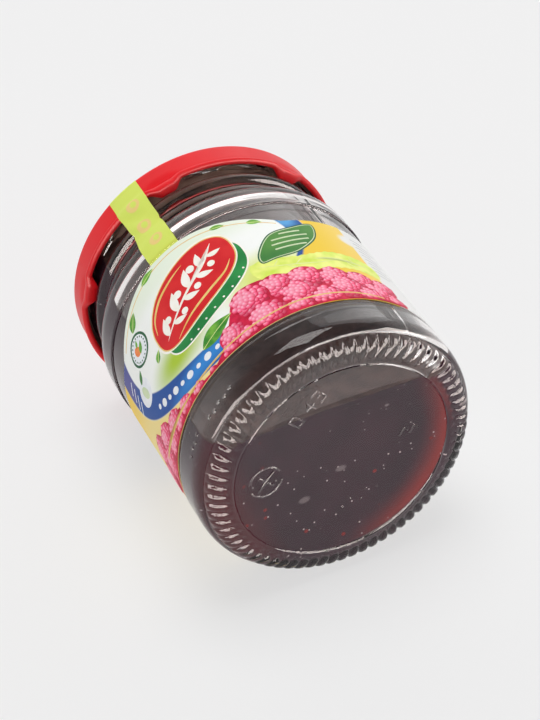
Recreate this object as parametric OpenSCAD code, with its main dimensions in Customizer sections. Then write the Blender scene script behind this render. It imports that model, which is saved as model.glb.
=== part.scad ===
// Jam jar lying on its side: glass jar, twist-off lid, wrap label with a seal strip, and the jam inside.
// The jar's own axis runs from the base (towards -Y) to the lid (towards +Y). Z points up.

/* [Jar body] */
// Outer radius of the shoulder and heel bands
band_r = 43.3; // [40:0.1:60]
// How far the label panel lies below the bands
panel_step = 0.5; // [0.4:0.05:1.5]
// Height of the standing jar from the bearing ring to the glass rim
glass_h = 104.1; // [85:0.1:130]
// Thickness of the side wall
wall = 2.6; // [1.5:0.1:5]
// Thickness of the bottom
bottom_t = 4.0; // [2:0.1:7]
// Depth of the flats that the bands rest on
rest_cut = 0.15; // [0.05:0.05:0.4]

/* [Base] */
// Radius of the rounded heel below the heel band
heel_r = 4.0; // [2.5:0.1:5]
// Step from the heel band's radius in to the heel's radius
heel_step = 1.8; // [1:0.1:3]
// Height of the heel band above the heel
heel_band_h = 13.2; // [10:0.1:20]
// Width of the bearing ring on which the ribs lie
bearing_w = 3.9; // [3:0.1:6]
// Rise of the hollow base panel at its middle
base_rise = 1.4; // [0.5:0.1:3]
// Number of ribs around the heel
rib_count = 72; // [36:1:90]
// Radius of the groove between two ribs
rib_groove_r = 1.9; // [1.2:0.1:2.2]
// Depth of the groove between two ribs
rib_groove_d = 0.55; // [0.2:0.05:0.7]
// Lean of the ribs away from the radial direction
rib_lean = 16; // [0:1:30]
// How far the raised marks stand out of the base
mark_h = 0.35; // [0.1:0.05:0.6]

/* [Neck and finish] */
// Height of the shoulder curve and neck, from the shoulder band to the glass rim
neck_h = 29.1; // [26:0.1:40]
// Outer radius of the neck and of the finish under the lid
neck_r = 38.7; // [32:0.1:39.5]
// How far the transfer bead stands out of the neck
bead_out = 1.2; // [0.5:0.1:1.6]
// How far the thread ramps stand out of the finish
thread_out = 1.0; // [0.5:0.1:1.2]
// Room between the lid's lower edge and the middle of the transfer bead
bead_room = 3.95; // [3.5:0.05:6]
// Number of thread ramps and of lugs on the lid
lug_count = 6; // [3:1:8]

/* [Lid] */
// Thickness of the sheet metal
sheet_t = 0.25; // [0.2:0.05:0.6]
// Height of the lid
lid_h = 9.8; // [8:0.1:14]
// Radial room between the thread ramps and the skirt
skirt_gap = 2.3; // [1.4:0.1:2.8]
// Radius of the rolled curl at the lid's lower edge
curl_r = 1.0; // [0.7:0.05:1.2]
// Depth of the sunken panel in the lid's top
lid_sink = 1.0; // [0.4:0.1:2]
// Radius of the button in the middle of the lid
button_r = 14; // [8:0.5:20]
// Gap between the glass rim and the lid's inner face
rim_gap = 0.1; // [0.05:0.05:0.3]

/* [Label and seal strip] */
// Thickness of the paper
paper_t = 0.2; // [0.1:0.05:0.35]
// Air between the paper and the glass or the lid
paper_gap = 0.05; // [0.02:0.01:0.1]
// Room between the heel band and the label's lower edge
label_foot_gap = 1.2; // [0.6:0.1:6]
// Room between the top of the label's arch and the shoulder band
label_head_gap = 0.2; // [0.1:0.1:6]
// How far the label's arched front rises above its straight upper edge
arch_h = 9.5; // [4:0.1:11]
// Half width of the arched front
arch_half_w = 31.4; // [20:0.1:36]
// Width of the seal strip
strip_w = 11; // [6:0.5:18]
// Length of the strip that lies on top of the lid
strip_top = 6; // [3:0.5:8]
// Turn of the strip and of the label's front from straight up
front_turn = 32; // [0:1:60]

/* [Jam] */
// Height of the jam's surface above the jar's axis as the jar lies
jam_level = 17.6; // [5:0.1:30]
// Room between the jam and the glass
jam_gap = 0.05; // [0.02:0.01:0.1]

/* [Hidden] */
$fn = 96;

overlap = 0.6;                                  // how far pieces of one solid run into each other
axis_z = band_r - rest_cut;                     // height of the jar's axis above the ground
lid_top = glass_h + rim_gap + sheet_t;          // outer face of the lid on the standing jar
lid_low = lid_top - lid_h;                      // lower edge of the lid
panel_r = band_r - panel_step;                  // glass under the label
heel_top_r = band_r - heel_step;                // outer radius where the heel meets the heel band
heel_mid_r = heel_top_r - heel_r;               // radius where the heel curve meets the bearing ring
base_r = heel_mid_r - bearing_w;                // radius of the hollow base panel
band_curve = 4.6;                               // height of the curve from the heel up to the band
step_run = 1.0;                                 // height over which a band steps in to the label panel
heel_band_top = heel_r + heel_band_h;
shoulder_band_h = 5.6;
shoulder_curve_h = 5.5;
neck_slope_h = 2.8;                             // height of the slope from the shoulder to the neck
shoulder_high = glass_h - neck_h;               // where the shoulder band ends and curves in
shoulder_low = shoulder_high - shoulder_band_h; // where the panel steps out to the shoulder band
shoulder_in = 2.0;                              // how far the shoulder band curves in to its upper edge
shoulder_edge = shoulder_high + shoulder_curve_h;
groove_z = shoulder_edge + neck_slope_h;        // foot of the neck
groove_d = 0.4;                                 // how far the foot lies below the neck
groove_h = 1.2;                                 // height over which it widens to the neck
bead_mid = lid_low - bead_room;                 // middle of the transfer bead
bead_half = 2.2;
rim_round = 1.1;                                // rounding of the glass rim
rest_edge = 0.9;                                // rounding between the base panel and the bearing ring
panel_rim = 0.3;                                // how far the base panel's edge lies above the ring

// points on an arc about [cx, cz] from angle a0 to a1
function arc(cx, cz, rx, rz, a0, a1, n) =
    [for (i = [0:n]) let (a = a0 + (a1 - a0) * i / n) [cx + rx * cos(a), cz + rz * sin(a)]];

// height of the hollow base panel at radius r
function dome(r) = base_rise * (1 - pow(r / base_r, 2)) + panel_rim;
function dome_line(lift, r0, r1, n) =
    [for (i = [0:n]) let (r = r0 + (r1 - r0) * i / n) [r, dome(r) + lift]];

// outer side of the glass, from the bearing ring up to the rim
heel_line = arc(heel_mid_r, heel_r, heel_r, heel_r, -90, 0, 8);
heel_band_line = concat(
    arc(heel_top_r, heel_r + band_curve, heel_step, band_curve, -80, 0, 6),
    [[band_r, heel_band_top - step_run], [panel_r, heel_band_top]]);
shoulder_line = concat(
    [[panel_r, shoulder_low], [band_r, shoulder_low + step_run]],
    arc(band_r - shoulder_in, shoulder_high, shoulder_in, shoulder_edge - shoulder_high, 0, 84, 8));
neck_line = concat(
    [[neck_r - groove_d, groove_z], [neck_r, groove_z + groove_h], [neck_r, bead_mid - bead_half]],
    arc(neck_r, bead_mid, bead_out, bead_half, -75, 75, 8),
    [[neck_r, bead_mid + bead_half], [neck_r, glass_h - rim_round]]);

// inner side of the glass, drawn in by g, from the rim down to the middle of the bottom
mouth_r = neck_r - wall;
inner_r = panel_r - wall;
inner_heel = 7;                                 // radius of the inner heel curve
inner_shoulder_r = 4;                           // width and height of the inner shoulder curve
inner_shoulder_h = 7;
inner_shoulder_drop = 2;                        // how far that curve starts below the outer one
inner_neck_drop = 1;                            // how far the inner neck reaches below the outer one
function inner_side(g, end_z) = concat(
    [[mouth_r - g, end_z], [mouth_r - g, groove_z - inner_neck_drop - g]],
    arc(inner_r - inner_shoulder_r - g, shoulder_high - inner_shoulder_drop - g,
        inner_shoulder_r, inner_shoulder_h, 72, 0, 6),
    arc(inner_r - inner_heel - g, bottom_t + inner_heel + g, inner_heel, inner_heel, 0, -80, 8),
    dome_line(bottom_t + g, inner_r - 2 * inner_heel - g, 0, 6));

module lay() {
    translate([0, -lid_top / 2, axis_z]) rotate([-90, 0, 0]) children();
}

// turns a piece built on the local +X side so that it lies phi degrees from straight up
module turn(phi) {
    rotate([0, 0, 270 - phi]) children();
}

module ring_segment(phi, width) {
    turn(phi) rotate([0, 0, -width / 2]) rotate_extrude(angle = width) children();
}

// ---------- glass ----------

module glass_blank() {
    rotate_extrude() polygon(concat(
        dome_line(0, 0, base_r, 6), [[base_r + rest_edge, 0]],
        heel_line, heel_band_line, shoulder_line, neck_line,
        arc(neck_r - rim_round, glass_h - rim_round, rim_round, rim_round, 0, 90, 4),
        arc(mouth_r + rim_round, glass_h - rim_round, rim_round, rim_round, 90, 170, 4),
        inner_side(0, glass_h - 2 * rim_round)));
}

// one groove across the heel, sunk most where the heel curve faces rib_face degrees down
rib_face = 52;
module rib_groove() {
    reach = heel_r + rib_groove_r - rib_groove_d;
    translate([heel_mid_r, 0, heel_r]) rotate([0, rib_face, 0]) translate([reach, 0, 0])
        rotate([90 - rib_lean, 0, 0]) rotate([90, 0, 0])
            cylinder(r = rib_groove_r, h = 4 * heel_r, center = true, $fn = 24);
}

module rib_grooves() {
    for (i = [0:rib_count - 1]) rotate([0, 0, 360 * i / rib_count]) rib_groove();
}

lug_drop = 0.4;                                 // how far a lug hangs below the curl
lug_h = 1.5;
lug_w = 13;                                     // degrees
lug_turn = -16;                                 // turn of the first lug from the label's front
thread_w = 300 / lug_count;                     // degrees that one thread ramp runs
thread_turn = 14;                               // turn of the first ramp from the label's front
thread_half = 1;                                // half height of a ramp at its root
thread_crest = 0.3;                             // half height of its crest
thread_room = 1.15;                             // room between a lug and the ramp above it
thread_z = lid_low + lug_h - lug_drop + thread_room + thread_half;
module thread_ramps() {
    for (i = [0:lug_count - 1])
        ring_segment(front_turn + thread_turn + 360 * i / lug_count, thread_w)
            polygon([[neck_r - overlap, thread_z - thread_half], [neck_r + thread_out, thread_z - thread_crest],
                     [neck_r + thread_out, thread_z + thread_crest], [neck_r - overlap, thread_z + thread_half]]);
}

// the two lines where the halves of the mould met, outside the label
seam_h = 0.12;
seam_w = 0.6;                                   // degrees
seam_turn = -35;
module seam_fin(phi, r, low, high) {
    ring_segment(phi, seam_w)
        polygon([[r - overlap, low], [r + seam_h, low], [r + seam_h, high], [r - overlap, high]]);
}

module mould_seams() {
    for (side = [0, 180]) {
        seam_fin(seam_turn + side, band_r, heel_r + band_curve, heel_band_top - step_run);
        seam_fin(seam_turn + side, band_r, shoulder_low + step_run, shoulder_high);
        seam_fin(seam_turn + side, neck_r, groove_z + groove_h, bead_mid - bead_half);
    }
}

// two rows of small studs on the heel band
stud_r = 0.6;
stud_sunk = 0.15;                               // how far a stud's middle lies inside the band
stud_pitch = 3.6;                               // degrees
stud_rows = [[64, 5], [26, 4]];                 // turn of the first stud from straight up, and how many
module band_studs() {
    for (row = stud_rows, i = [0:row[1] - 1])
        turn(row[0] + stud_pitch * i) translate([band_r - stud_sunk, 0, heel_r + band_curve])
            sphere(r = stud_r, $fn = 16);
}

// numerals of a capacity figure, from bars on a 2 by 4 grid
numeral_w = 2.4;
numeral_h = 4.4;
bar_w = 0.7;
module bar(p, q) {
    long = norm(q - p);
    translate(p) rotate(atan2(q.y - p.y, q.x - p.x)) {
        translate([0, -bar_w / 2]) square([long, bar_w]);
        circle(d = bar_w, $fn = 16);
        translate([long, 0]) circle(d = bar_w, $fn = 16);
    }
}

module numeral(bars) {
    for (b = bars) bar([b[0] * numeral_w, b[1] * numeral_h], [b[2] * numeral_w, b[3] * numeral_h]);
}

zero_bars = [[0, 0, 1, 0], [1, 0, 1, 1], [1, 1, 0, 1], [0, 1, 0, 0]];
four_bars = [[0.8, 0, 0.8, 1], [0.8, 1, 0, 0.4], [0, 0.4, 1.15, 0.4]];
three_bars = [[0, 0, 1, 0], [1, 0, 1, 1], [1, 1, 0, 1], [0.3, 0.55, 1, 0.55]];

ring_mark_at = [-23.5, 1.5];
ring_mark_r = 5.4;
ring_mark_dot_r = 1;
numerals_at = [-12.2, 17.2];
numerals_lean = 42;
numeral_steps = [0, 5.6, 9.8];                  // where the numerals start along their line
tick_bars = [[18.6, 0.6, 19.8, 2.6], [21.4, 1.6, 22.6, 3.6]];
dot_ring_r = 19;
dot_r = 0.6;
dot_step = 10;                                  // degrees between the small dots
dot_start = -96;

// marks of the base panel, drawn as seen from outside with the top of the lying jar up
module base_marks() {
    translate(ring_mark_at) difference() {
        circle(r = ring_mark_r);
        circle(r = ring_mark_r - bar_w);
    }
    translate(ring_mark_at) circle(r = ring_mark_dot_r, $fn = 24);
    translate(numerals_at) rotate(numerals_lean) {
        translate([numeral_steps[0], 0]) numeral(zero_bars);
        translate([numeral_steps[1], 0]) numeral(four_bars);
        translate([numeral_steps[2], 0]) numeral(three_bars);
    }
    for (t = tick_bars) bar([t[0], t[1]], [t[2], t[3]]);
    for (i = [0:4]) rotate(dot_start + dot_step * i) translate([dot_ring_r, -2 * (i % 2)])
        circle(r = dot_r, $fn = 16);
}

module raised_marks() {
    reach = base_r - 2;
    intersection() {
        rotate_extrude() polygon(concat(dome_line(-mark_h, 0, reach, 6), dome_line(overlap, reach, 0, 6)));
        translate([0, 0, -1]) linear_extrude(height = bottom_t + base_rise) mirror([0, 1]) base_marks();
    }
}

module glass_jar() {
    color("lightsteelblue", 0.45)
        difference() {
            lay() {
                difference() {
                    glass_blank();
                    rib_grooves();
                }
                thread_ramps();
                mould_seams();
                band_studs();
                raised_marks();
            }
            translate([-band_r, -lid_top, -band_r]) cube([2 * band_r, 2 * lid_top, band_r]);
        }
}

// ---------- lid ----------

skirt_in = neck_r + thread_out + skirt_gap;     // inner face of the skirt
skirt_r = skirt_in + sheet_t;
curl_mid = skirt_in - curl_r / 4;               // middle of the rolled curl
curl_out = curl_mid + curl_r;
shoulder_round = 1.4;                           // rounding between skirt and top
seal_w = 2.4;                                   // width of the seal's seat inside the mouth
sink_r = mouth_r - seal_w;                      // outer radius of the sunken panel
sink_slope = 1.2;                               // width of the slope down to it
button_h = 0.6;
button_slope = 1.5;

function lid_top_line(drop) = [
    [sink_r + sink_slope, lid_top - drop], [sink_r, lid_top - lid_sink - drop],
    [button_r + button_slope, lid_top - lid_sink - drop], [button_r, lid_top - lid_sink + button_h - drop],
    [0, lid_top - lid_sink + button_h - drop]];

module lid_shell() {
    inner_round = shoulder_round - sheet_t;
    rotate_extrude() polygon(concat(
        [[skirt_in, lid_low + curl_r], [skirt_r, lid_low + curl_r]],
        arc(skirt_r - shoulder_round, lid_top - shoulder_round, shoulder_round, shoulder_round, 0, 90, 6),
        lid_top_line(0),
        [for (i = [4:-1:0]) lid_top_line(sheet_t)[i]],
        arc(skirt_r - shoulder_round, lid_top - shoulder_round, inner_round, inner_round, 90, 0, 6)));
}

module curl() {
    rotate_extrude() translate([curl_mid, lid_low + curl_r]) circle(r = curl_r, $fn = 32);
}

// each lug is a stretch of the curl pressed in under a thread ramp
lug_gap = 0.4;                                  // room between a lug and the neck
module lugs() {
    for (i = [0:lug_count - 1])
        ring_segment(front_turn + lug_turn + 360 * i / lug_count, lug_w)
            translate([neck_r + lug_gap, lid_low - lug_drop]) square([skirt_in - neck_r - lug_gap, lug_h]);
}

module lid() {
    color("crimson") lay() {
        lid_shell();
        curl();
        lugs();
    }
}

// ---------- label ----------

label_in = panel_r + paper_gap;
label_out = label_in + paper_t;
label_low = heel_band_top + label_foot_gap;
label_high = shoulder_low - label_head_gap - arch_h;    // straight upper edge, beside the arch
arch_r = (pow(arch_half_w, 2) + pow(arch_h, 2)) / (2 * arch_h);
strip_deg = strip_w / label_out * 180 / PI;
strip_lap = 4;                                  // how far the strip runs down into the label
strip_from = label_high + arch_h - strip_lap;
// the strip leaves the shoulder's curve past the point where it can run straight to the curl
strip_leave = max(40, 6 + atan(shoulder_curve_h / shoulder_in * (band_r - curl_out) / (lid_low - shoulder_high)));
strip_fold = 1.4;                               // in curl radii: where the strip leaves the curl
strip_land = 2.4;                               // and where it meets the skirt

module sleeve(low, high) {
    rotate_extrude() translate([label_in, low]) square([paper_t, high - low]);
}

module wrap() {
    sleeve(label_low, label_high);
    intersection() {
        sleeve(label_high - overlap, label_high + arch_h);
        turn(front_turn) translate([0, 0, label_high + arch_h - arch_r]) rotate([0, 90, 0])
            cylinder(r = arch_r, h = 2 * band_r, $fn = 180);
    }
}

// side line of the strip, grown by g: over the shoulder, across the neck, up the skirt and onto the lid
function strip_line(g) = concat(
    [[label_in + g, strip_from], [label_in + g, shoulder_low - label_head_gap],
     [band_r + paper_gap + g, shoulder_low + step_run]],
    arc(band_r - shoulder_in, shoulder_high, shoulder_in + paper_gap + g,
        shoulder_edge - shoulder_high + paper_gap + g, 0, strip_leave, 4),
    [[curl_out + paper_gap + g, lid_low + curl_r], [curl_out + paper_gap + g, lid_low + strip_fold * curl_r],
     [skirt_r + paper_gap + g, lid_low + strip_land * curl_r],
     [skirt_r + paper_gap + g, lid_top - shoulder_round]],
    arc(skirt_r - shoulder_round, lid_top - shoulder_round, shoulder_round + paper_gap + g,
        shoulder_round + paper_gap + g, 15, 90, 4),
    [[skirt_r - strip_top, lid_top + paper_gap + g]]);

module seal_strip() {
    outside = strip_line(paper_t);
    last = len(outside) - 1;
    ring_segment(front_turn, strip_deg)
        polygon(concat(strip_line(0), [for (i = [last:-1:0]) outside[i]]));
}

module label() {
    color("honeydew") lay() {
        wrap();
        seal_strip();
    }
}

// ---------- jam ----------

jam_end = lid_top - lid_sink - sheet_t - jam_gap;
module jam() {
    color("maroon") intersection() {
        lay() rotate_extrude()
            polygon(concat([[0, jam_end]], inner_side(jam_gap, jam_end)));
        translate([-band_r, -lid_top, 0]) cube([2 * band_r, 2 * lid_top, axis_z + jam_level]);
    }
}

glass_jar();
lid();
label();
jam();
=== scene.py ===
import math

import bmesh
import bpy
import numpy as np
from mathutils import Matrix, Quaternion, Vector


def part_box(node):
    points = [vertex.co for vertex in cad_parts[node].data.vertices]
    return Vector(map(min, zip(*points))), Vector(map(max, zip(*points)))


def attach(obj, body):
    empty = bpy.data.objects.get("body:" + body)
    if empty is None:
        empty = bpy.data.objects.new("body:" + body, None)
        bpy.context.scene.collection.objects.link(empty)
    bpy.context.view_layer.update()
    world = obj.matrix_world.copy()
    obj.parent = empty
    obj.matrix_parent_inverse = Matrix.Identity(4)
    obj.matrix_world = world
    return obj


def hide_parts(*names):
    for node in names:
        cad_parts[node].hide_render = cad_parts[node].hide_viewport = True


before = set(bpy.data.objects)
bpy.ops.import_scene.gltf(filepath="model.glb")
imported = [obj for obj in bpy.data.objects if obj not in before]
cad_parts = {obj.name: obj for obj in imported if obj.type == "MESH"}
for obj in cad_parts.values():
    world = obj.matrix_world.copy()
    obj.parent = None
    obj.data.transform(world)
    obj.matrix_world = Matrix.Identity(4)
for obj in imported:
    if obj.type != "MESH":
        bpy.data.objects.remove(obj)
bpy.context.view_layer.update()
bpy.context.scene.view_settings.view_transform = "Standard"
print("frame loaded")

# places taken from the frame, in millimetres along the jar's own axis and around it
glassLow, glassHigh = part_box("glass_jar")
lidLow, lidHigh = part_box("lid")
jamLow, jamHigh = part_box("jam")
mm = 0.001

place = {
    "bandRadius": (glassHigh.x - glassLow.x) / 2 / mm,
    "baseY": glassLow.y / mm,
    "rimHeight": (glassHigh.y - glassLow.y) / mm,
    "lidTop": (lidHigh.y - glassLow.y) / mm,
    "lidEdge": 94.7,       # lower edge of the lid's curl on the standing jar
    "jamTop": jamHigh.z / mm,
    "frontTurn": 32.0,     # degrees from straight up to the middle of the label's front
}
place["axisZ"] = glassHigh.z / mm - place["bandRadius"]


def toWorld(radius, height, turn):
    # a point of the standing jar (turn in radians from straight up) as it lies on the ground, in metres
    radius, height, turn = np.broadcast_arrays(radius, height, turn)
    x = -radius * np.sin(turn)
    y = height + place["baseY"]
    z = radius * np.cos(turn) + place["axisZ"]
    return np.stack([x, y, z], axis=-1) * mm


# small helpers
def fullTurn(count):
    return np.linspace(0, 2 * math.pi, count, endpoint=False)


def arcPoints(centreR, centreH, radiusR, radiusH, startDeg, endDeg, steps):
    angles = np.radians(np.linspace(startDeg, endDeg, steps + 1))
    return [(centreR + radiusR * math.cos(a), centreH + radiusH * math.sin(a)) for a in angles]


def linePoints(start, end, steps):
    start, end = np.array(start), np.array(end)
    return [tuple(start + (end - start) * i / steps) for i in range(steps + 1)]


def joinOutline(*parts):
    outline = []
    for part in parts:
        for point in part:
            if not outline or math.dist(outline[-1], point) > 1e-4:
                outline.append(tuple(point))
    return np.array(outline)


def densePath(path, step, whole=round):
    # the same path with its stretches cut into even parts about one step long
    out = [tuple(path[0])]
    for a, b in zip(path[:-1], path[1:]):
        out += linePoints(a, b, max(1, int(whole(math.dist(a, b) / step))))[1:]
    return np.array(out)


def smoothStep(low, high, value):
    t = np.clip((value - low) / (high - low), 0, 1)
    return t * t * (3 - 2 * t)


def newObject(name, points, faces, materials, smooth=True):
    mesh = bpy.data.meshes.new(name)
    mesh.from_pydata([tuple(p) for p in points], [], [tuple(f) for f in faces])
    for material in materials:
        mesh.materials.append(material)
    mesh.polygons.foreach_set("use_smooth", [smooth] * len(mesh.polygons))
    mesh.update()
    piece = bpy.data.objects.new(name, mesh)
    bpy.context.scene.collection.objects.link(piece)
    return piece


def gridFaces(rows, columns, closedAround, offset=0):
    faces = []
    last = columns if closedAround else columns - 1
    for i in range(rows - 1):
        for j in range(last):
            k = (j + 1) % columns
            a = offset + i * columns
            faces.append((a + j, a + k, a + columns + k, a + columns + j))
    return faces


def turnedFaces(rings, columns):
    # faces of a shape turned on the axis whose first and last rings shrink to one point each
    faces = [(0, 1 + (j + 1) % columns, 1 + j) for j in range(columns)]
    faces += gridFaces(rings, columns, True, 1)
    end = 1 + rings * columns
    first = end - columns
    faces += [(end, first + j, first + (j + 1) % columns) for j in range(columns)]
    return faces


def tubeFaces(rings, sides, offset):
    # faces of a closed tube whose rings of points begin at the offset
    last = offset + (rings - 1) * sides
    caps = [tuple(range(offset, offset + sides)), tuple(range(last + sides - 1, last - 1, -1))]
    return gridFaces(rings, sides, True, offset) + caps


def turnedPoints(outline, radius, height, turn):
    # all points of such a shape: its two ends on the axis and the rings between them
    body = toWorld(radius, height, turn).reshape(-1, 3)
    ends = [toWorld(0, outline[i][1], 0)[None] for i in (0, -1)]
    return np.vstack([ends[0], body, ends[1]])


def turnedGrid(outline, columns):
    # radius, height and turn of every point of an outline turned on the axis, without its two ends
    turns = fullTurn(columns)
    radius, turn = np.meshgrid(outline[1:-1, 0], turns, indexing="ij")
    height = np.repeat(outline[1:-1, 1][:, None], columns, axis=1)
    return radius, height, turn


def outwardNormals(piece):
    shape = bmesh.new()
    shape.from_mesh(piece.data)
    bmesh.ops.remove_doubles(shape, verts=shape.verts, dist=1e-7)
    bmesh.ops.recalc_face_normals(shape, faces=shape.faces)
    shape.to_mesh(piece.data)
    shape.free()
    piece.data.set_sharp_from_angle(angle=math.radians(42))


def addAttribute(piece, name, values, domain="POINT"):
    attribute = piece.data.attributes.new(name, "FLOAT", domain)
    attribute.data.foreach_set("value", np.asarray(values, dtype=np.float32).ravel())


def finishPiece(piece, slot, *nodes):
    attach(piece, "root")
    if nodes:
        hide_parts(*nodes)


# node helpers, shared by the materials and the geometry trees
def addNode(tree, kind, settings=None, inputs=None):
    node = tree.nodes.new(kind)
    for key, value in (settings or {}).items():
        setattr(node, key, value)
    for key, value in (inputs or {}).items():
        wire(tree, value, node.inputs[key])
    return node


def wire(tree, value, socket):
    if isinstance(value, bpy.types.NodeSocket):
        tree.links.new(value, socket)
    elif value is not None:
        socket.default_value = value


def calc(tree, operation, a, b=None, c=None, clamp=False):
    node = tree.nodes.new("ShaderNodeMath")
    node.operation = operation
    node.use_clamp = clamp
    for socket, value in zip(node.inputs, (a, b, c)):
        wire(tree, value, socket)
    return node.outputs[0]


def blendColour(tree, factor, first, second):
    node = tree.nodes.new("ShaderNodeMix")
    node.data_type = "RGBA"
    wire(tree, factor, node.inputs[0])
    wire(tree, first, node.inputs[6])
    wire(tree, second, node.inputs[7])
    return node.outputs[2]


def ramp(tree, value, stops, interpolation="LINEAR"):
    node = tree.nodes.new("ShaderNodeValToRGB")
    node.color_ramp.interpolation = interpolation
    elements = node.color_ramp.elements
    while len(elements) < len(stops):
        elements.new(0.5)
    for element, (position, colour) in zip(elements, stops):
        element.position = position
        element.color = colour
    tree.links.new(value, node.inputs[0])
    return node.outputs[0]


def product(tree, first, *others):
    for value in others:
        first = calc(tree, "MULTIPLY", first, value)
    return first


def oneMinus(tree, value):
    return calc(tree, "SUBTRACT", 1.0, value)


def crossLength(tree, a, b):
    return calc(tree, "SQRT", calc(tree, "ADD", product(tree, a, a), product(tree, b, b)))


def slanted(tree, x, z, alongX, alongZ):
    return calc(tree, "MULTIPLY_ADD", z, alongZ, calc(tree, "MULTIPLY", x, alongX))


def softSpot(tree, u, v, centre, size, softness):
    # 1 inside an ellipse, fading to 0 over the softness
    du = calc(tree, "DIVIDE", calc(tree, "SUBTRACT", u, centre[0]), size[0])
    dv = calc(tree, "DIVIDE", calc(tree, "SUBTRACT", v, centre[1]), size[1])
    fade = addNode(tree, "ShaderNodeMapRange", {"interpolation_type": "SMOOTHSTEP"},
                   {0: crossLength(tree, du, dv), 1: 1.0 - softness, 2: 1.0 + softness, 3: 1.0, 4: 0.0})
    return fade.outputs[0]


def softStep(tree, value, low, high):
    smooth = {"interpolation_type": "SMOOTHSTEP"}
    return addNode(tree, "ShaderNodeMapRange", smooth, {0: value, 1: low, 2: high}).outputs[0]


def objectPlace(tree):
    return addNode(tree, "ShaderNodeTexCoord").outputs["Object"]


def noiseOf(tree, vector, scale, detail):
    inputs = {"Vector": vector, "Scale": scale, "Detail": detail}
    return addNode(tree, "ShaderNodeTexNoise", inputs=inputs).outputs[0]


def srgb(red, green, blue, alpha=1.0):
    # screen colour, 0 to 255, as the linear colour that the shaders want
    def linear(value):
        v = value / 255
        return v / 12.92 if v <= 0.04045 else ((v + 0.055) / 1.055) ** 2.4
    return (linear(red), linear(green), linear(blue), alpha)


def newMaterial(name):
    material = bpy.data.materials.new(name)
    material.use_nodes = True
    tree = material.node_tree
    shader = tree.nodes["Principled BSDF"]
    return material, tree, shader


def setShader(shader, **values):
    names = {"roughness": "Roughness", "ior": "IOR", "transmission": "Transmission Weight",
             "coat": "Coat Weight", "coatRoughness": "Coat Roughness", "specular": "Specular IOR Level",
             "colour": "Base Color", "glowColour": "Emission Color", "glow": "Emission Strength"}
    for key, value in values.items():
        wire(shader.id_data, value, shader.inputs[names[key]])


def bumpFrom(tree, shader, height, strength, distance):
    inputs = {"Height": height, "Strength": strength, "Distance": distance}
    tree.links.new(addNode(tree, "ShaderNodeBump", inputs=inputs).outputs[0], shader.inputs["Normal"])


def mottled(name, scale, detail, stops, bump=None, **looks):
    # a colour that wanders between tones; bump is its own noise scale and detail, then strength and distance
    material, tree, shader = newMaterial(name)
    colour = ramp(tree, noiseOf(tree, objectPlace(tree), scale, detail), stops)
    setShader(shader, colour=colour, **looks)
    if bump:
        grain = noiseOf(tree, objectPlace(tree), bump[0], bump[1])
        bumpFrom(tree, shader, grain, bump[2], bump[3])
    return material


# geometry node trees, whose results are kept as plain meshes
def newTree(name, inputs):
    tree = bpy.data.node_groups.new(name, "GeometryNodeTree")
    tree.interface.new_socket("Geometry", in_out="INPUT", socket_type="NodeSocketGeometry")
    for key, value in inputs.items():
        kind = "NodeSocketInt" if isinstance(value, int) else "NodeSocketFloat"
        tree.interface.new_socket(key, in_out="INPUT", socket_type=kind)
    tree.interface.new_socket("Geometry", in_out="OUTPUT", socket_type="NodeSocketGeometry")
    start = tree.nodes.new("NodeGroupInput")
    end = tree.nodes.new("NodeGroupOutput")
    return tree, start, end


def closeTree(tree, end, geometry, material):
    realized = addNode(tree, "GeometryNodeRealizeInstances", inputs={"Geometry": geometry})
    painted = addNode(tree, "GeometryNodeSetMaterial", inputs={"Geometry": realized.outputs[0]})
    painted.inputs["Material"].default_value = material
    tree.links.new(painted.outputs[0], end.inputs[0])


def runTree(piece, tree, values):
    # sets the tree's inputs, and keeps its result as the piece's plain mesh
    modifier = piece.modifiers.new(tree.name, "NODES")
    modifier.node_group = tree
    for item in tree.interface.items_tree:
        if item.in_out == "INPUT" and item.name in values:
            modifier[item.identifier] = values[item.name]
    graph = bpy.context.evaluated_depsgraph_get()
    result = bpy.data.meshes.new_from_object(piece.evaluated_get(graph))
    result.name = piece.name
    piece.modifiers.remove(modifier)
    piece.data = result
    return piece


def namedValue(tree, name):
    return addNode(tree, "GeometryNodeInputNamedAttribute", {"data_type": "FLOAT"}, {"Name": name}).outputs[0]


# glass jar
glass = {
    "columns": 648,
    "wall": 2.6,
    "bottom": 4.0,
    "panelStep": 0.5,
    "neckRadius": 38.7,
    "heelRadius": 4.0,
    "heelStep": 1.8,
    "bandCurve": 4.6,
    "bearingWidth": 3.9,
    "baseRise": 1.4,
    "shoulderLow": 69.4,
    "shoulderHigh": 75.0,
    "markHeight": 0.32,
    "markWidth": 0.8,
    "seamHeight": 0.16,
    "seamHalf": 0.68,      # degrees
    "seamTurn": -35.0,
    "threadOut": 1.0,
    "threadMid": 97.6,
    "threadSlope": 0.035,
    "ribCount": 72,
    "ribDepth": 0.85,
    "ribLean": 1.5,
    "ribCurve": -1.1,
}
panelR = place["bandRadius"] - glass["panelStep"]
heelTopR = place["bandRadius"] - glass["heelStep"]
heelMidR = heelTopR - glass["heelRadius"]
baseR = heelMidR - glass["bearingWidth"]
mouthR = glass["neckRadius"] - glass["wall"]
innerR = panelR - glass["wall"]
innerHeel = 7.0
shoulderEdge = glass["shoulderHigh"] + 5.5
neckFoot = shoulderEdge + 2.8
beadMid = shoulderEdge + 10.2


def baseHeight(radius):
    return glass["baseRise"] * (1 - (radius / baseR) ** 2) + 0.3


def baseLine(lift, startR, endR, steps):
    return [(r, baseHeight(r) + lift) for r in np.linspace(startR, endR, steps + 1)]


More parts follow.
